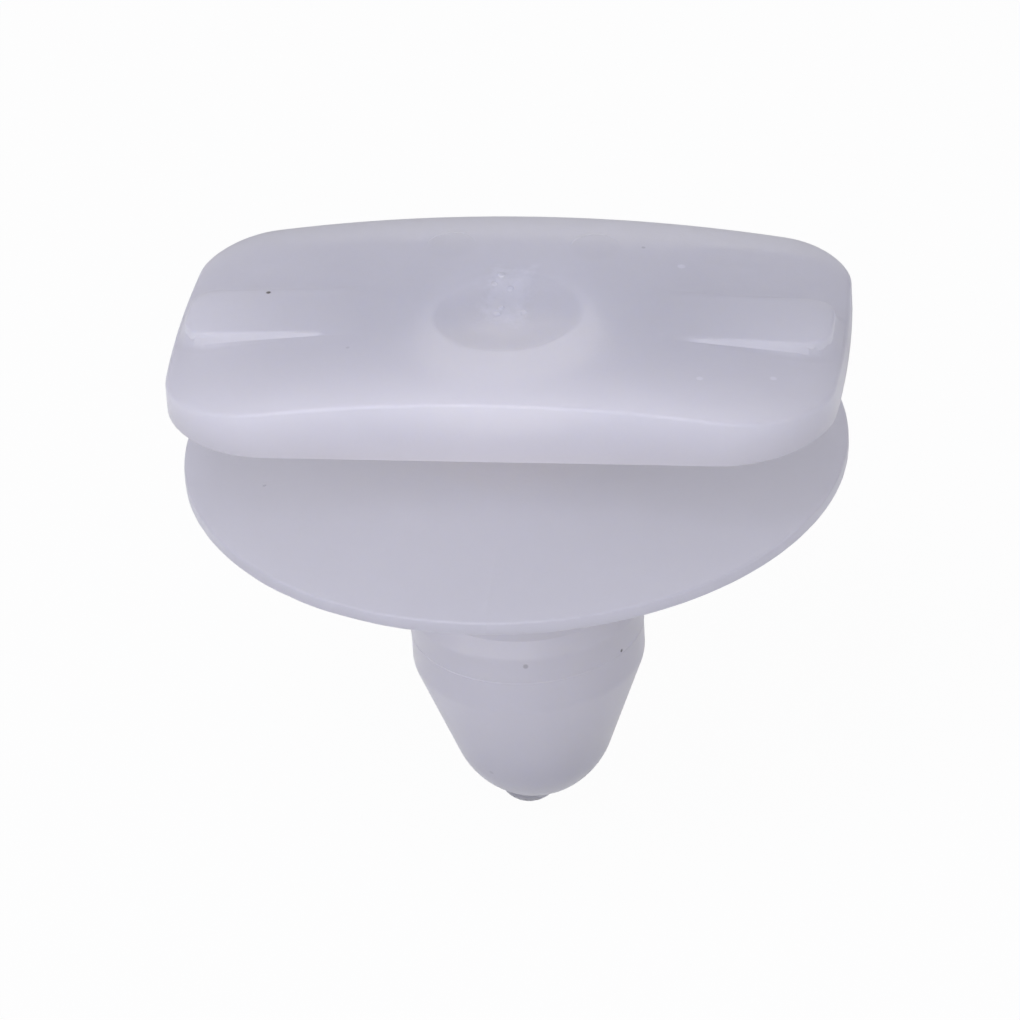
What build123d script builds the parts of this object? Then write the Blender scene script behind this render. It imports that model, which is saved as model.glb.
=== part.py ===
from build123d import *
import os
from math import radians, tan

# A molding clip: a trim fastener for a vehicle's body, moulded in one piece in white nylon.
# From the top down it is a crowned head plate that slides into the channel on the trim's back,
# a short post, a thin umbrella that presses on the body panel, and a round stud that snaps into
# the panel's hole. The origin is on the stud's axis, in the plane of the umbrella's rim, where
# the panel's face lies. +Z points from the panel to the trim and X runs along the head.
# Every size is in millimetres.

# Head plate
head_length = 19.45             # along X, between the corners of the two end faces
head_end_bow = 0.36             # how far each end face bulges past its corners
head_depth = 11.1
head_front_corner = 3.0         # plan radius of the two corners towards -Y
head_back_corner = 1.95
head_underside = 3.15           # height of the flat underside above the panel's face
head_end_thickness = 1.03
head_crown_rise = 0.95          # how much thicker the plate is at its middle
head_top_edge = 0.12            # radius along the top edge
head_bottom_edge = 0.06

# Rib along the middle of the head. The crown swallows it near the centre.
rib_width = 2.6
rib_offset = 0.15               # the rib lies this far towards the head's back
rib_end_rise = 0.58             # above the head's top at the rib's ends
rib_middle_sink = 0.16          # below the head's top at the centre
rib_corner = 0.8                # plan radius
rib_top_edge = 0.1

# Marks that the mould leaves in the head's top
gate_diameter = 4.4             # round dish that keeps the gate's stub below the surface
gate_offset = -0.2              # the dish lies this far towards the head's front
gate_depth = 0.65
gate_lip = 0.5                  # radius that eases the dish into the head's top
ejector_diameter = 1.5
ejector_spacing = 4.4
ejector_setback = 1.75          # from the back edge to the marks' centres
ejector_depth = 0.05

# Post between the head and the umbrella, where the trim's channel lips lie
post_diameter = 5.5
post_head_fillet = 0.4
post_umbrella_fillet = 0.95
post_sink = 0.6                 # how far the post runs up into the head

# Umbrella, which slopes down to a thin rim
umbrella_diameter = 20.0
umbrella_slope = 10.0           # degrees, from the post to the rim
umbrella_dip = 0.2              # how far the upper face hangs below that straight slope
umbrella_root_thickness = 0.8   # at the stud's neck
rim_thickness = 0.42
rim_land = 0.5                  # width of the flat ring that seats on the panel
rim_edge = 0.07

# Snap stud, from the panel's face down
neck_length = 4.6
neck_fillet = 0.4
snap_step = 0.3                 # how far the barrel stands out past the neck, all round
shoulder_length = 0.5           # slope from the neck out to the barrel
shoulder_edge = 0.3
barrel_diameter = 7.1
barrel_length = 1.85
barrel_edge = 0.8               # blend between the barrel and the cone
cone_end_diameter = 4.76
cone_length = 3.19
nose_end_diameter = 1.9
nose_length = 1.57
nose_cap_rise = 0.21            # how far the nose's blunt end bulges
nub_radius = 1.0
nub_reach = 0.68                # how far the nub's tip stands below the nose's edge
nub_offset = -0.23              # the nub sits a little off the stud's axis
nub_fillet = 0.25

# Places that follow from the sizes
head_end_top = head_underside + head_end_thickness
head_top = head_end_top + head_crown_rise
head_half = head_length / 2
head_reach = head_half + head_end_bow
post_radius = post_diameter / 2
umbrella_radius = umbrella_diameter / 2
barrel_radius = barrel_diameter / 2
neck_radius = barrel_radius - snap_step
umbrella_fall = tan(radians(umbrella_slope))
post_foot = rim_thickness + (umbrella_radius - post_radius) * umbrella_fall
post_room = head_underside - post_head_fillet - post_foot
post_foot_fillet = min(post_umbrella_fillet, post_room)     # stays clear of the fillet under the head
umbrella_middle = ((post_radius + umbrella_radius) / 2, (post_foot + rim_thickness) / 2 - umbrella_dip)
neck_root = rim_thickness + (umbrella_radius - neck_radius) * umbrella_fall - umbrella_root_thickness
barrel_top = -(neck_length + shoulder_length)
barrel_foot = barrel_top - barrel_length
cone_foot = barrel_foot - cone_length
nose_foot = cone_foot - nose_length
nub_centre = nose_foot - nub_reach + nub_radius


def corner_at(builder, x, y):
    """The profile's corner nearest to a point of its own plane."""
    return builder.vertices().sort_by_distance((x, y, 0))[0]


def arched_strip(end_height, middle_height):
    """An upright face along X with an arched top, longer than the head at both ends."""
    fall = (middle_height - end_height) / head_half**2
    reach = head_reach + head_end_bow
    low = middle_height - fall * reach**2
    with BuildSketch(Plane.XZ) as strip:
        with BuildLine():
            ThreePointArc((-reach, low), (0, middle_height), (reach, low))
            Polyline((reach, low), (reach, 0), (-reach, 0), (-reach, low))
        make_face()
    return strip.sketch


# Head plate: a rounded rectangle with bulging ends, cut to the crown's arch.
with BuildPart() as head_plate:
    with BuildSketch(Plane.XY.offset(head_underside)) as head_outline:
        with BuildLine():
            Line((-head_half, -head_depth / 2), (head_half, -head_depth / 2))
            ThreePointArc((head_half, -head_depth / 2), (head_reach, 0), (head_half, head_depth / 2))
            Line((head_half, head_depth / 2), (-head_half, head_depth / 2))
            ThreePointArc((-head_half, head_depth / 2), (-head_reach, 0), (-head_half, -head_depth / 2))
        make_face()
        fillet(head_outline.vertices().group_by(Axis.Y)[0], head_front_corner)
        fillet(head_outline.vertices().group_by(Axis.Y)[-1], head_back_corner)
    extrude(amount=head_top)
    extrude(arched_strip(head_end_top, head_top), amount=head_depth, both=True, mode=Mode.INTERSECT)
    fillet(head_plate.faces().sort_by(Axis.Z)[-1].edges(), head_top_edge)
    fillet(head_plate.faces().sort_by(Axis.Z)[0].edges(), head_bottom_edge)

# Rib: as long as the head's straight edges. Its top arches less than the head's, so it stands
# proud only towards the ends.
with BuildPart() as rib:
    with BuildSketch(Plane.XY.offset(head_underside + head_end_thickness / 2)):
        with Locations((0, rib_offset)):
            RectangleRounded(head_length, rib_width, rib_corner)
    extrude(amount=head_top)
    rib_strip = arched_strip(head_end_top + rib_end_rise, head_top - rib_middle_sink)
    extrude(rib_strip, amount=rib_width, both=True, mode=Mode.INTERSECT)
    fillet(rib.faces().sort_by(Axis.Z)[-1].edges(), rib_top_edge)

# Stem: post, umbrella and snap stud, turned about the axis from one profile.
with BuildPart() as stem:
    with BuildSketch(Plane.XZ) as stem_profile:
        with BuildLine():
            Polyline(
                (0, head_underside + post_sink),
                (post_radius, head_underside + post_sink),
                (post_radius, post_foot),
            )
            ThreePointArc((post_radius, post_foot), umbrella_middle, (umbrella_radius, rim_thickness))
            Polyline(
                (umbrella_radius, rim_thickness),
                (umbrella_radius, 0),
                (umbrella_radius - rim_land, 0),
                (neck_radius, neck_root),
                (neck_radius, -neck_length),
                (barrel_radius, barrel_top),
                (barrel_radius, barrel_foot),
            )
            cone = Line((barrel_radius, barrel_foot), (cone_end_diameter / 2, cone_foot))
            nose = TangentArc(cone @ 1, (nose_end_diameter / 2, nose_foot), tangent=cone % 1)
            cap = TangentArc(nose @ 1, (0, nose_foot - nose_cap_rise), tangent=nose % 1)
            Line(cap @ 1, (0, head_underside + post_sink))
        make_face()
        fillet(corner_at(stem_profile, post_radius, post_foot), post_foot_fillet)
        fillet(corner_at(stem_profile, umbrella_radius, rim_thickness), rim_edge)
        fillet(corner_at(stem_profile, umbrella_radius, 0), rim_edge)
        fillet(corner_at(stem_profile, neck_radius, neck_root), neck_fillet)
        fillet(corner_at(stem_profile, barrel_radius, barrel_top), shoulder_edge)
        fillet(corner_at(stem_profile, barrel_radius, barrel_foot), barrel_edge)
    revolve(axis=Axis.Z)
    with Locations((nub_offset, 0, nub_centre)):
        Sphere(nub_radius)
    fillet(stem.edges().sort_by_distance((nub_offset, -nub_radius, nose_foot))[0], nub_fillet)

# The whole clip, with the marks of the gate and of two ejector pins sunk in its top.
with BuildPart() as clip_body:
    add(head_plate.part)
    add(rib.part)
    add(stem.part)
    fillet(clip_body.edges().sort_by_distance((0, -post_radius, head_underside))[0], post_head_fillet)
    gate_radius = gate_diameter / 2
    gate_sphere = (gate_radius**2 + gate_depth**2) / (2 * gate_depth)
    with Locations((0, gate_offset, head_top - gate_depth + gate_sphere)):
        Sphere(gate_sphere, mode=Mode.SUBTRACT)
    fillet(clip_body.edges().sort_by_distance((0, gate_offset - gate_radius, head_top))[0], gate_lip)
    ejector_fall = head_crown_rise * (ejector_spacing / head_length) ** 2
    with Locations((0, head_depth / 2 - ejector_setback, head_top)):
        with GridLocations(ejector_spacing, 0, 2, 1):
            Hole(ejector_diameter / 2, ejector_fall + ejector_depth)

clip_body.part.label = "clip_body"
os.makedirs("parts", exist_ok=True)
export_step(clip_body.part, "parts/clip_body.step")
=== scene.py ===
from math import atan2, cos, pi, radians, sin, sqrt, tan

import bmesh
import bpy
from mathutils import Matrix, Vector, noise


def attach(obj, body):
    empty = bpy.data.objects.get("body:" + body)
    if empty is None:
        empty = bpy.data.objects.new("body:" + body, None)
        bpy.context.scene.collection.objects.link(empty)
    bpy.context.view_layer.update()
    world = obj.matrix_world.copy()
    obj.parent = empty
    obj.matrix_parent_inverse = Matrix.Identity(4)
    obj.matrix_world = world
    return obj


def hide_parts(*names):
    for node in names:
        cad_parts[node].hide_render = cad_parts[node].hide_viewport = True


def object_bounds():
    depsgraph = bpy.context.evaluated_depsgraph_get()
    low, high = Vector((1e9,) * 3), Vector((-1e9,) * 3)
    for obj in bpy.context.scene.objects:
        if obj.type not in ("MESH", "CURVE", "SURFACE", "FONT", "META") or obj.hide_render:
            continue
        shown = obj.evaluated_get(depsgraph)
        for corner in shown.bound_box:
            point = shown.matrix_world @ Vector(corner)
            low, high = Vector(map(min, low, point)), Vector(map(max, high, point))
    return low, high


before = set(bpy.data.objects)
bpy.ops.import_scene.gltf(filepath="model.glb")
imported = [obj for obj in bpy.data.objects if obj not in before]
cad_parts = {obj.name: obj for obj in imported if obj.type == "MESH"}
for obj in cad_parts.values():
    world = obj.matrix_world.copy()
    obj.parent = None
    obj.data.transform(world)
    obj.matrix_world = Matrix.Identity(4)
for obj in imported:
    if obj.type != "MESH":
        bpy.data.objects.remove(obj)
cad_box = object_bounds()


# Post, umbrella and stud
# One round shape in the mould: a blind bore in the lower half, and two slides that meet above
# the umbrella. It is drawn as half a section and spun about the stud's axis. The whole clip is
# modelled in millimetres and scaled down to metres once it is one piece.
mm = 0.001
head_underside = 3.15
post_top = 3.75
post_radius = 2.75
post_flare = 0.4
umbrella_radius = 10.0
umbrella_fall = tan(radians(10))
umbrella_dip = 0.2
umbrella_steps = 12
umbrella_blend = 0.95
umbrella_root = 0.8
rim_thickness = 0.42
rim_land = 0.5
rim_edge = 0.07
neck_radius = 3.25
neck_blend = 0.4
neck_foot = -4.6
barrel_radius = 3.55
barrel_top = -5.1
barrel_foot = -6.95
shoulder_edge = 0.3
barrel_blend = 0.8
parting_height = -5.92
parting_ridge = 0.015
cone_end = Vector((2.38, 0, -10.14))
nose_end = Vector((0.95, 0, -11.71))
nose_steps = 14
nub_centre = Vector((0, 0, -11.39))
nub_radius = 1.0
nub_steps = 12
nub_blend = 0.25
nub_blend_steps = 6
nub_offset = -0.23
overlap = 0.01
weld = 0.0005
spin_steps = 360
ring_spacing = 0.3


def arc(centre, radius, start, end, steps):
    """Points of the section along an arc, both ends included."""
    turns = [start + (end - start) * i / steps for i in range(steps + 1)]
    return [centre + Vector((cos(turn), 0, sin(turn))) * radius for turn in turns]


def bearing(centre, point):
    """The angle at which a centre sees a point of the section."""
    return atan2(point.z - centre.z, point.x - centre.x)


def rounded(corners, steps=6):
    """The section's outline from corners given as (radius, height, rounding)."""
    places = [Vector((x, 0, z)) for x, z, _ in corners]
    points = []
    for i, (place, (_, _, rounding)) in enumerate(zip(places, corners)):
        if not rounding:
            points.append(place)
            continue
        back = (places[i - 1] - place).normalized()
        ahead = (places[i + 1] - place).normalized()
        half = back.angle(ahead) / 2
        centre = place + (back + ahead).normalized() * rounding / sin(half)
        start = bearing(centre, place + back * rounding / tan(half))
        end = bearing(centre, place + ahead * rounding / tan(half))
        turn = (end - start + pi) % (2 * pi) - pi
        points += arc(centre, rounding, start, start + turn, steps)
    return points


def spun(name, points, steps):
    """A closed round solid from half a section that starts and ends on the axis."""
    bpy.ops.object.select_all(action="DESELECT")
    bpy.ops.mesh.primitive_plane_add(size=1)
    part = bpy.context.object
    part.name = name
    bpy.ops.object.mode_set(mode="EDIT")
    bpy.ops.mesh.select_mode(type="VERT")
    bpy.ops.mesh.merge(type="CENTER")
    bpy.ops.transform.translate(value=points[0])
    for here, there in zip(points, points[1:]):
        pieces = max(1, round((there - here).length / ring_spacing))
        for _ in range(pieces):
            bpy.ops.mesh.extrude_region_move(TRANSFORM_OT_translate={"value": (there - here) / pieces})
    bpy.ops.mesh.select_all(action="SELECT")
    bpy.ops.mesh.spin(steps=steps, angle=2 * pi, center=(0, 0, 0), axis=(0, 0, 1))
    bpy.ops.mesh.select_all(action="SELECT")
    bpy.ops.mesh.remove_doubles(threshold=weld)
    bpy.ops.mesh.normals_make_consistent(inside=False)
    bpy.ops.object.mode_set(mode="OBJECT")
    return part


# The umbrella's upper face hangs below a straight slope, lowest halfway out. Its first steps lie
# under the blend with the post, so they are left out.
umbrella_foot = rim_thickness + (umbrella_radius - post_radius) * umbrella_fall
umbrella_span = umbrella_radius - post_radius
hanging = []
for i in range(2, umbrella_steps):
    along = i / umbrella_steps
    straight = umbrella_foot - along * umbrella_span * umbrella_fall
    height = straight - 4 * umbrella_dip * along * (1 - along)
    hanging.append((post_radius + along * umbrella_span, height, 0))

neck_root = rim_thickness + (umbrella_radius - neck_radius) * umbrella_fall - umbrella_root
inside_head = head_underside + overlap
shank = rounded([
    (0, post_top, 0),
    (post_radius + 2 * post_flare, post_top, 0),
    (post_radius + 2 * post_flare, inside_head, 0),
    (post_radius, inside_head, post_flare),
    (post_radius, umbrella_foot, umbrella_blend),
    *hanging,
    (umbrella_radius, rim_thickness, rim_edge),
    (umbrella_radius, 0, rim_edge),
    (umbrella_radius - rim_land, 0, 0),
    (neck_radius, neck_root, neck_blend),
    (neck_radius, neck_foot, 0),
    (barrel_radius, barrel_top, shoulder_edge),
    (barrel_radius, parting_height + parting_ridge, 0),
    (barrel_radius + parting_ridge, parting_height, 0),
    (barrel_radius, parting_height - parting_ridge, 0),
    (barrel_radius, barrel_foot, barrel_blend),
    (cone_end.x, cone_end.z, 0),
])

# The nose is an arc that leaves the cone smoothly, and the nub a ball end blended into it.
along_cone = (cone_end - Vector((barrel_radius, 0, barrel_foot))).normalized()
inward = Vector((along_cone.z, 0, -along_cone.x))
chord = nose_end - cone_end
nose_radius = chord.length_squared / (2 * inward.dot(chord))
nose_centre = cone_end + inward * nose_radius
apart = nub_centre - nose_centre
reach = nose_radius + nub_blend
along = (reach**2 - (nub_radius + nub_blend) ** 2 + apart.length_squared) / (2 * apart.length)
outward = Vector((-apart.z, 0, apart.x)).normalized()
blend_centre = nose_centre + apart.normalized() * along + outward * sqrt(reach**2 - along**2)
nose_start = bearing(nose_centre, cone_end)
nose_stop = bearing(nose_centre, blend_centre)
nose = arc(nose_centre, nose_radius, nose_start, nose_stop, nose_steps)
blend_start = bearing(blend_centre, nose_centre)
blend_stop = bearing(blend_centre, nub_centre)
blend = arc(blend_centre, nub_blend, blend_start, blend_stop, nub_blend_steps)
nub = arc(nub_centre, nub_radius, bearing(nub_centre, blend_centre), -pi / 2, nub_steps)
clip = spun("moulded_clip", shank + nose[1:] + blend[1:] + nub[1:], spin_steps)

# The nub sits a little off the axis, and the end of the nose leans over to meet it.
lean_above_nose = 0.25
lean_height = 0.45
lean_top = nose_end.z + lean_above_nose
for vertex in clip.data.vertices:
    lean = min(max((lean_top - vertex.co.z) / lean_height, 0), 1)
    vertex.co.x += nub_offset * lean**2 * (3 - 2 * lean)

# The two slides don't meet quite flush, which leaves a line up the umbrella's outer part, and where
# one of them seals badly the rim is cut into small ragged scallops.
slide_joint = 0.33
slide_step = 0.01
slide_seen_from = 6.0
slide_fade = 1.5
joint_width = 0.03
post_clear = 0.05
rim_turn = -0.2
touching = 0.001
ragged_middle = radians(232)
ragged_spread = radians(55)
ragged_depth = 0.05
ragged_least = 0.25
scallop = 1.1


def over_umbrella(place, normal):
    """Whether skin belongs to the umbrella's upper face or its rim, clear of the post."""
    beyond_post = place.xy.length > post_radius + post_clear
    at_height = -touching < place.z < umbrella_foot + umbrella_blend
    return beyond_post and at_height and normal.z > rim_turn


bpy.ops.object.mode_set(mode="EDIT")
for x in (slide_joint - joint_width, slide_joint):
    bpy.ops.mesh.select_mode(type="FACE")
    bpy.ops.mesh.select_all(action="DESELECT")
    body = bmesh.from_edit_mesh(clip.data)
    for face in body.faces:
        face.select_set(over_umbrella(face.calc_center_median(), face.normal))
    bmesh.update_edit_mesh(clip.data)
    bpy.ops.mesh.bisect(plane_co=(x, 0, 0), plane_no=(1, 0, 0))
bpy.ops.object.mode_set(mode="OBJECT")
normals = [vertex.normal.copy() for vertex in clip.data.vertices]
for vertex, normal in zip(clip.data.vertices, normals):
    spoke = Vector((vertex.co.x, vertex.co.y, 0))
    if over_umbrella(vertex.co, normal) and vertex.co.x < slide_joint - joint_width / 2:
        seen = min(max((spoke.length - slide_seen_from) / slide_fade, 0), 1)
        vertex.co += normal * slide_step * seen
    if spoke.length > umbrella_radius - rim_land:
        around = atan2(spoke.y, spoke.x) % (2 * pi)
        worst = max(0, 1 - abs(around - ragged_middle) / ragged_spread)
        bite = abs(noise.noise(spoke / scallop)) * ragged_depth * (ragged_least + worst)
        outer = (spoke.length - umbrella_radius + rim_land) / rim_land
        vertex.co -= spoke.normalized() * bite * outer**2


# Head
# A plate with a crowned top and bulging ends, which slides into the channel on the trim's back.
# Its side walls come from the upper half of the mould. Its edges are barely rounded.
head_half = 9.725
head_bow = 0.36
head_depth = 11.1
head_front_corner = 3.0
head_back_corner = 1.95
head_top = 5.13
head_top_edge = 0.12
head_bottom_edge = 0.06
crown_radius = 50.3
rib_half = head_half
rib_width = 2.6
rib_offset = 0.15
rib_corner = 0.8
rib_top = 4.97
rib_radius = 225.3
rib_foot = 0.35
rib_foot_share = 0.8
foot_cuts = 4
foot_gap = 0.1
end_cuts = 6
end_spacing = 0.15
end_shift = 0.05
cell = 0.3
upright = 0.9
near = 0.01
along_x = Vector((1, 0, 0))
along_y = Vector((0, 1, 0))


def bevel(part, radius, segments, wanted):
    """Rounds off the edges whose middle and direction pass a test."""
    bpy.ops.mesh.select_mode(type="EDGE")
    bpy.ops.mesh.select_all(action="DESELECT")
    body = bmesh.from_edit_mesh(part.data)
    for edge in body.edges:
        a, b = (vertex.co for vertex in edge.verts)
        edge.select_set(wanted((a + b) / 2, (b - a).normalized()))
    bmesh.update_edit_mesh(part.data)
    bpy.ops.mesh.bevel(offset=radius, segments=segments, affect="EDGES")


def slab(name, half_length, depth, bottom, top):
    """A block centred over the stud, left in edit mode for shaping."""
    bpy.ops.object.select_all(action="DESELECT")
    bpy.ops.mesh.primitive_cube_add(size=1, location=(0, 0, (bottom + top) / 2))
    part = bpy.context.object
    part.name = name
    part.scale = (2 * half_length, depth, top - bottom)
    bpy.ops.object.transform_apply(location=True, rotation=False, scale=True)
    bpy.ops.object.mode_set(mode="EDIT")
    return part


def cut(normal, places):
    """Cuts a block across at each place along a direction."""
    for place in places:
        bpy.ops.mesh.select_all(action="SELECT")
        bpy.ops.mesh.bisect(plane_co=normal * place, plane_no=normal)


def cells(half):
    """Places that divide a length about its middle into equal cells."""
    count = round(2 * half / cell)
    return [half * (2 * i / count - 1) for i in range(1, count)]


def arch(part, radius, above):
    """Bends what lies above a height down to an arch along the head."""
    for vertex in part.data.vertices:
        if vertex.co.z > above:
            vertex.co.z -= radius - sqrt(radius**2 - vertex.co.x**2)


head = slab("head", head_half, head_depth, head_underside, head_top)
head_back = head_depth / 2 - near
bevel(head, head_front_corner, segments=16,
      wanted=lambda middle, way: abs(way.z) > upright and middle.y < 0)
bevel(head, head_back_corner, segments=14,
      wanted=lambda middle, way: abs(way.z) > upright and middle.y > head_back)
bevel(head, head_top_edge, segments=5, wanted=lambda middle, way: middle.z > head_top - near)
bevel(head, head_bottom_edge, segments=3, wanted=lambda middle, way: middle.z < head_underside + near)

# Finer cells at the ends and along the rib's foot let the head's top bend there.
cut(along_x, cells(head_half))
end_places = [head_half - end_spacing * i + end_shift for i in range(1, end_cuts + 1)]
cut(along_x, [side * place for side in (-1, 1) for place in end_places])
for side in (-1, 1):
    foot = [rib_offset + side * (rib_width / 2 + rib_foot * i / foot_cuts) for i in range(-1, foot_cuts + 1)]
    own_half = [y for y in cells(head_depth / 2) if side * (y - rib_offset) > 0]
    cut(along_y, foot + [y for y in own_half if y < min(foot) - foot_gap or y > max(foot) + foot_gap])
bpy.ops.object.mode_set(mode="OBJECT")
for vertex in head.data.vertices:
    bulge = 1 - (2 * vertex.co.y / head_depth) ** 2
    vertex.co.x += head_bow * bulge * (vertex.co.x / head_half) ** 3

# The head's top sweeps up to the rib in a hollow, always lower than the rib stands there.
for vertex in head.data.vertices:
    if vertex.co.z > head_top - touching:
        stands = rib_top - head_top + vertex.co.x**2 / 2 * (1 / crown_radius - 1 / rib_radius)
        sweep = min(rib_foot, rib_foot_share * stands)
        past_x = max(abs(vertex.co.x) - rib_half + rib_corner, 0)
        past_y = max(abs(vertex.co.y - rib_offset) - rib_width / 2 + rib_corner, 0)
        away = max(sqrt(past_x**2 + past_y**2) - rib_corner - overlap, 0)
        if away < sweep:
            vertex.co.z += sweep - sqrt(sweep**2 - (sweep - away) ** 2)
arch(head, crown_radius, (head_underside + head_top) / 2)


# Rib
# A flat bar along the middle of the head that arches less than the crown, so that only its two
# ends stand out of it. It stiffens the head where the channel's lips carry it.
rib_bottom = 3.66
rib_top_edge = 0.1

rib = slab("rib", rib_half, rib_width, rib_bottom, rib_top)
bevel(rib, rib_corner, segments=8, wanted=lambda middle, way: abs(way.z) > upright)
bevel(rib, rib_top_edge, segments=4, wanted=lambda middle, way: middle.z > rib_top - near)
cut(along_x, cells(rib_half))
cut(along_y, cells(rib_width / 2))
bpy.ops.object.mode_set(mode="OBJECT")
rib.location.y = rib_offset
arch(rib, rib_radius, (rib_bottom + rib_top) / 2)


# Marks of the gate and the ejector pins
# The gate leaves its stub at the bottom of a round dish, so that nothing stands out of the head,
# and two ejector pins leave faint round prints behind it.
dish_radius = 2.2
dish_offset = -0.2
dish_depth = 0.65
dish_steps = 14
dish_lip = 0.5
lip_start = 0.95
lip_end = radians(4)
lip_steps = 5
flare_reach = 0.5
tool_height = 1.0
dish_spin_steps = 128
pin_radius = 0.75
pin_sides = 64
pin_places = ((-2.2, 3.8), (2.2, 3.8))
pin_floor = 5.115
sharp_from = radians(22)


def combine(part, tool, operation):
    """Joins or cuts one solid with another, and removes the second."""
    join = part.modifiers.new("join", "BOOLEAN")
    join.operation = operation
    join.solver = "EXACT"
    join.object = tool
    bpy.ops.object.select_all(action="DESELECT")
    bpy.context.view_layer.objects.active = part
    bpy.ops.object.modifier_apply(modifier="join")
    bpy.data.objects.remove(tool)


ball = (dish_radius**2 + dish_depth**2) / (2 * dish_depth)
wall_angle = atan2(dish_radius, ball - dish_depth)
ball_centre = Vector((0, 0, head_top - dish_depth + ball))
lip_reach = dish_lip * tan(wall_angle / 2)
wall = arc(ball_centre, ball, -pi / 2, -pi / 2 + wall_angle - lip_reach / ball, dish_steps)
lip_centre = Vector((dish_radius + lip_reach, 0, head_top - dish_lip))
lip = arc(lip_centre, dish_lip, pi / 2 + wall_angle * lip_start, pi / 2 + lip_end, lip_steps)
flare = lip[-1] + Vector((flare_reach, 0, flare_reach * tan(lip_end)))
tool_top = head_top + tool_height
above_head = [Vector((flare.x, 0, tool_top)), Vector((0, 0, tool_top))]
dish = spun("dish", (wall + lip + [flare] + above_head)[::-1], dish_spin_steps)
dish.location.y = dish_offset
arch(dish, crown_radius, 0)

combine(head, rib, "UNION")
combine(head, dish, "DIFFERENCE")
for x, y in pin_places:
    bpy.ops.object.select_all(action="DESELECT")
    bpy.ops.mesh.primitive_cylinder_add(
        vertices=pin_sides,
        radius=pin_radius,
        depth=2 * tool_height,
        location=(x, y, pin_floor + tool_height),
    )
    pin = bpy.context.object
    bpy.ops.object.transform_apply(location=True)
    arch(pin, crown_radius, 0)
    combine(head, pin, "DIFFERENCE")
combine(clip, head, "UNION")
bpy.ops.object.select_all(action="DESELECT")
clip.select_set(True)
clip.scale = (mm, mm, mm)
bpy.ops.object.transform_apply(location=False, rotation=False, scale=True)
bpy.ops.object.shade_smooth_by_angle(angle=sharp_from)
even = clip.modifiers.new("even", "WEIGHTED_NORMAL")
even.keep_sharp = True
bpy.ops.object.modifier_apply(modifier="even")
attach(clip, "root")
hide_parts("clip_body")


# Nylon
# Natural nylon 6, moulded in a finely eroded steel mould: a pale lavender grey, satin, and so
# translucent that light wanders through its thin walls and softens every edge. A few burnt specks
# lie in it and it has small scuffs. A paler patch is painted on the dish's back wall as the
# reflection of an overhead light, with brighter painted glints on small bumps in it.
nylon_pale = "#D8D6DC"
nylon_dull = "#D2D0D5"
# A paler colour for the scuffs, and for the painted highlight and glints in the dish.
nylon_scuff_and_highlight = "#EDEBF3"
nylon_burnt = "#2E2A28"
nylon_ior = 1.53
nylon_spread = 0.032
spread_by_colour = (1.0, 0.95, 0.75)
satin_smooth = 0.36
satin_dull = 0.44

# Clouds left by the flow of the melt are 3 mm wide, and the skin sank in hollows of 2.5 mm. The
# mould's grain is drawn 0.14 mm wide, several times its real width, so that it shows.
flow_per_mm = 0.35
flow_low = 0.3
flow_high = 0.7
grain_per_mm = 7.0
grain_height = 0.003
sink_per_mm = 0.4
sink_height = 0.012

# Each speck, scuff, print and painted glint (which is also a small bump) is a place on the surface, a radius
# and a strength.
dot_core = 0.6
dot_reach = 1.3
specks = (
    ((-7.41, 1.18, 4.85), 0.075, 1.0),
    ((3.09, -1.74, -5.82), 0.055, 0.8),
    ((-7.2, -3.04, 0.65), 0.06, 0.5),
    ((0.41, -3.53, -5.3), 0.08, 0.35),
    ((3.64, 3.93, 5.0), 0.06, 0.25),
    ((-4.54, -2.07, 4.92), 0.06, 0.15),
    ((-1.07, -2.13, -10.12), 0.07, 0.15),
)
scuffs = (
    ((4.88, 3.02, 4.89), 0.12, 0.6),
    ((6.07, -3.23, 4.76), 0.1, 0.5),
    ((8.18, -2.66, 4.46), 0.1, 0.5),
)
prints = (
    ((-2.2, 3.8, 5.07), 0.8, 0.8),
    ((2.2, 3.8, 5.07), 0.8, 0.8),
)
# A paler patch is painted where an overhead light is reflected in the dish's back wall: its middle, half
# size and ragged borders.
highlight_middle = Vector((-0.17, 1.3, 4.83))
highlight_half = Vector((0.65, 1.15, 0.5))
highlight_edge_from = 0.1
highlight_edge_to = 0.8
highlight_strength = 0.8
highlight_edge_per_mm = 1.6
highlight_edge_depth = 1.2
# Painted glints, each on a small bump that stands up in the painted highlight.
glint_places = (
    ((-0.43, 2.0, 5.12), 0.1, 1.0),
    ((-0.61, 1.68, 4.99), 0.08, 0.6),
    ((-0.12, 1.57, 4.89), 0.09, 0.7),
    ((-0.32, 0.87, 4.64), 0.08, 0.6),
    ((-0.41, 0.61, 4.58), 0.09, 0.6),
    ((0.37, 0.68, 4.59), 0.1, 0.7),
)
glint_bump_height = 0.04


def linear(colour):
    """An sRGB hex value as linear red, green, blue and alpha."""
    parts = [int(colour[i:i + 2], 16) / 255 for i in (1, 3, 5)]
    return [p / 12.92 if p <= 0.04045 else ((p + 0.055) / 1.055) ** 2.4 for p in parts] + [1]


def add(tree, kind, inputs=None, **settings):
    """Adds a shader node. An input is a value, or the output that is linked to it."""
    node = tree.nodes.new(kind)
    for name, value in settings.items():
        setattr(node, name, value)
    for name, value in (inputs or {}).items():
        if isinstance(value, bpy.types.NodeSocket):
            tree.links.new(value, node.inputs[name])
        else:
            node.inputs[name].default_value = value
    return node


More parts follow.
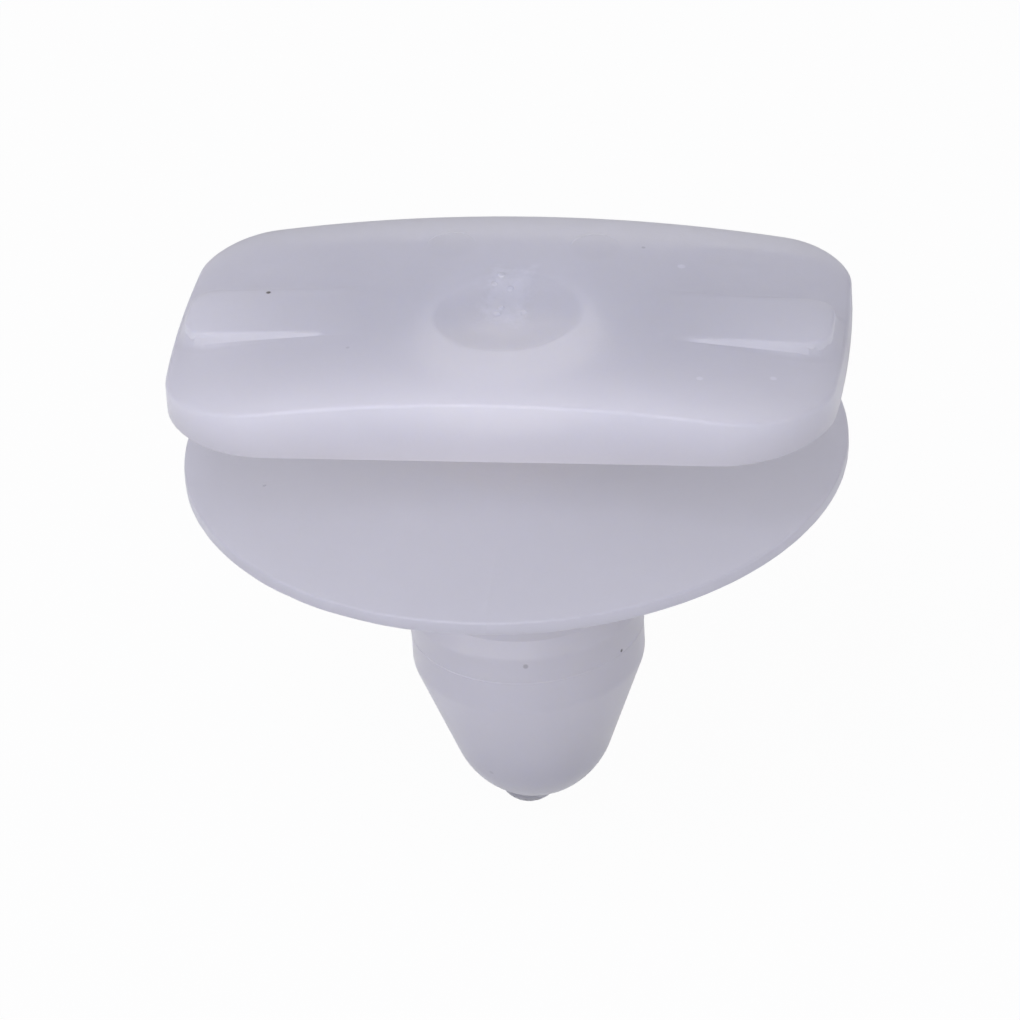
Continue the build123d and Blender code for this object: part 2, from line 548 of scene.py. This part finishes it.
def dots(tree, in_mm, places):
    """Soft round dots at places on the surface, as one mask."""
    mask = 0.0
    for centre, radius, strength in places:
        away = add(tree, "ShaderNodeVectorMath", {0: in_mm, 1: centre}, operation="DISTANCE")
        dot = add(tree, "ShaderNodeMapRange", {
            "Value": away.outputs["Value"],
            "From Min": radius * dot_core,
            "From Max": radius * dot_reach,
            "To Min": strength,
            "To Max": 0.0,
        }, interpolation_type="SMOOTHSTEP")
        stronger = add(tree, "ShaderNodeMath", {0: dot.outputs["Result"], 1: mask}, operation="MAXIMUM")
        mask = stronger.outputs["Value"]
    return mask


nylon = bpy.data.materials.new("nylon_moulded")
nylon.use_nodes = True
tree = nylon.node_tree
tree.nodes.clear()
place = add(tree, "ShaderNodeTexCoord").outputs["Object"]
in_mm = add(tree, "ShaderNodeVectorMath", {0: place, "Scale": 1 / mm}, operation="SCALE").outputs["Vector"]
flow = add(tree, "ShaderNodeTexNoise", {
    "Vector": in_mm,
    "Scale": flow_per_mm,
    "Detail": 3,
}).outputs["Fac"]
grain = add(tree, "ShaderNodeTexNoise", {
    "Vector": in_mm,
    "Scale": grain_per_mm,
    "Detail": 2,
}).outputs["Fac"]
sink = add(tree, "ShaderNodeTexNoise", {
    "Vector": in_mm,
    "Scale": sink_per_mm,
    "Detail": 1,
}).outputs["Fac"]

# A painted highlight: a paler patch with uneven borders on the dish's back wall, where an overhead light is
# reflected, and small bumps in it that carry brighter painted glints.
highlight_edge_noise = add(tree, "ShaderNodeTexNoise", {
    "Vector": in_mm,
    "Scale": highlight_edge_per_mm,
    "Detail": 4,
    "Roughness": 0.65,
}).outputs["Fac"]
off_middle = add(tree, "ShaderNodeVectorMath", {0: in_mm, 1: highlight_middle}, operation="SUBTRACT")
aside = add(tree, "ShaderNodeVectorMath", {0: off_middle.outputs["Vector"]}, operation="ABSOLUTE")
beyond = add(tree, "ShaderNodeVectorMath", {
    0: aside.outputs["Vector"],
    1: highlight_half,
}, operation="SUBTRACT")
sides = add(tree, "ShaderNodeSeparateXYZ", {"Vector": beyond.outputs["Vector"]}).outputs
widest = add(tree, "ShaderNodeMath", {0: sides["X"], 1: sides["Y"]}, operation="MAXIMUM").outputs["Value"]
widest = add(tree, "ShaderNodeMath", {0: widest, 1: sides["Z"]}, operation="MAXIMUM").outputs["Value"]
ragged = add(tree, "ShaderNodeMath", {0: highlight_edge_noise, 1: highlight_edge_depth, 2: widest}, operation="MULTIPLY_ADD")
painted_highlight = add(tree, "ShaderNodeMapRange", {
    "Value": ragged.outputs["Value"],
    "From Min": highlight_edge_from,
    "From Max": highlight_edge_to,
    "To Min": 1.0,
    "To Max": 0.0,
}, interpolation_type="SMOOTHSTEP").outputs["Result"]
glints_and_bumps = dots(tree, in_mm, glint_places)
scuffed = dots(tree, in_mm, scuffs)
burnt = dots(tree, in_mm, specks)
printed = dots(tree, in_mm, prints)

# The colour starts from the clouds, and each kind of mark is laid over it. The scuffs and the painted
# highlight share one paler colour.
# The painted highlight and its brighter painted glints, as one mask.
highlight_and_glints = add(tree, "ShaderNodeMath", {0: painted_highlight, 1: highlight_strength, 2: glints_and_bumps}, operation="MULTIPLY_ADD")
scuffs_and_highlight = add(tree, "ShaderNodeMath", {
    0: highlight_and_glints.outputs["Value"],
    1: scuffed,
}, operation="MAXIMUM", use_clamp=True).outputs["Value"]
tint = linear(nylon_dull)
for mask, colour in (
    (flow, nylon_pale),
    (printed, nylon_dull),
    (scuffs_and_highlight, nylon_scuff_and_highlight),
    (burnt, nylon_burnt),
):
    tint = add(tree, "ShaderNodeMix", {
        "Factor": mask,
        6: tint,
        7: linear(colour),
    }, data_type="RGBA").outputs[2]
satin = add(tree, "ShaderNodeMapRange", {
    "Value": flow,
    "From Min": flow_low,
    "From Max": flow_high,
    "To Min": satin_smooth,
    "To Max": satin_dull,
})
relief = 0.0
for pattern, height in ((grain, grain_height), (sink, sink_height), (glints_and_bumps, glint_bump_height)):
    relief = add(tree, "ShaderNodeMath", {
        0: pattern,
        1: height,
        2: relief,
    }, operation="MULTIPLY_ADD").outputs["Value"]
bump = add(tree, "ShaderNodeBump", {"Height": relief, "Strength": 1.0, "Distance": mm})
surface = add(tree, "ShaderNodeBsdfPrincipled", {
    "Base Color": tint,
    "Roughness": satin.outputs["Result"],
    "Normal": bump.outputs["Normal"],
    "IOR": nylon_ior,
    "Subsurface Weight": 1.0,
    "Subsurface Radius": spread_by_colour,
    "Subsurface Scale": nylon_spread,
})
add(tree, "ShaderNodeOutputMaterial", {"Surface": surface.outputs["BSDF"]})
clip.data.materials.clear()
clip.data.materials.append(nylon)


# Floor
# A plain pale board under the stud's tip. It looks white to the camera and to reflections, and
# keeps a soft shadow.
floor_size = 2.0
floor_colour = "#BCBCC3"
floor_glow = 0.97
tip_height = cad_box[0][2]

bpy.ops.object.select_all(action="DESELECT")
bpy.ops.mesh.primitive_plane_add(size=floor_size, location=(0, 0, tip_height))
floor = bpy.context.object
floor.name = "floor"
white = bpy.data.materials.new("matt_white_board")
white.use_nodes = True
tree = white.node_tree
tree.nodes.clear()
ray = add(tree, "ShaderNodeLightPath").outputs
seen = ray["Is Camera Ray"]
for other in (ray["Is Glossy Ray"], ray["Is Transmission Ray"]):
    seen = add(tree, "ShaderNodeMath", {0: seen, 1: other}, operation="MAXIMUM").outputs["Value"]
share = add(tree, "ShaderNodeMath", {0: seen, 1: floor_glow}, operation="MULTIPLY").outputs["Value"]
board = add(tree, "ShaderNodeBsdfDiffuse", {"Color": linear(floor_colour)}).outputs["BSDF"]
glow = add(tree, "ShaderNodeEmission", {"Strength": 1.0}).outputs["Emission"]
mixed = add(tree, "ShaderNodeMixShader", {0: share, 1: board, 2: glow}).outputs["Shader"]
add(tree, "ShaderNodeOutputMaterial", {"Surface": mixed})
floor.data.materials.append(white)


# Light
# Soft studio light at a plain level: one box in front by the camera, one high up, a weaker one on
# the left, a faint one behind that gives the head's top its sheen, and an even fill from the room.
daylight = "#FAF8FF"
room_light = "#F6F5FF"
room_strength = 0.452


def lamp(name, bearing_angle, height_angle, distance, size, watts):
    """A square soft box that faces the clip."""
    turn = Matrix.Rotation(radians(bearing_angle), 4, "Z")
    tilt = Matrix.Rotation(radians(90 - height_angle), 4, "X")
    light = bpy.data.lights.new(name, "AREA")
    light.size = size
    light.energy = watts
    light.color = linear(daylight)[:3]
    box = bpy.data.objects.new(name, light)
    box.visible_camera = False
    box.matrix_world = turn @ tilt @ Matrix.Translation((0, 0, distance))
    bpy.context.scene.collection.objects.link(box)


lamp("front", bearing_angle=-2, height_angle=28, distance=0.2, size=0.12, watts=0.1)
lamp("high", bearing_angle=-20, height_angle=60, distance=0.35, size=0.16, watts=0.59)
lamp("left", bearing_angle=-50, height_angle=25, distance=0.35, size=0.2, watts=0.224)
lamp("back", bearing_angle=185, height_angle=35, distance=0.35, size=0.12, watts=0.045)
world = bpy.data.worlds.new("room")
world.use_nodes = True
room = world.node_tree.nodes["Background"].inputs
room["Color"].default_value = linear(room_light)
room["Strength"].default_value = room_strength
bpy.context.scene.world = world
bpy.context.scene.view_settings.view_transform = "Standard"


# Camera
# It looks down on the clip from the front and a little to the right, through a long lens.
camera_bearing = 8.989
camera_height = 31.919
camera_roll = -3.681
camera_distance = 0.242817
camera_aim = Vector((-0.000313, 0, -0.001935))
camera_lens = 283.37
camera_film = 36
camera_near = 0.01

camera = bpy.data.objects.new("camera", bpy.data.cameras.new("camera"))
camera.data.lens = camera_lens
camera.data.sensor_width = camera_film
camera.data.clip_start = camera_near
turn = Matrix.Rotation(radians(camera_bearing), 4, "Z")
tilt = Matrix.Rotation(radians(90 - camera_height), 4, "X")
roll = Matrix.Rotation(radians(camera_roll), 4, "Z")
back_off = Matrix.Translation((0, 0, camera_distance))
camera.matrix_world = turn @ Matrix.Translation(camera_aim) @ tilt @ roll @ back_off
bpy.context.scene.collection.objects.link(camera)
bpy.context.scene.camera = camera
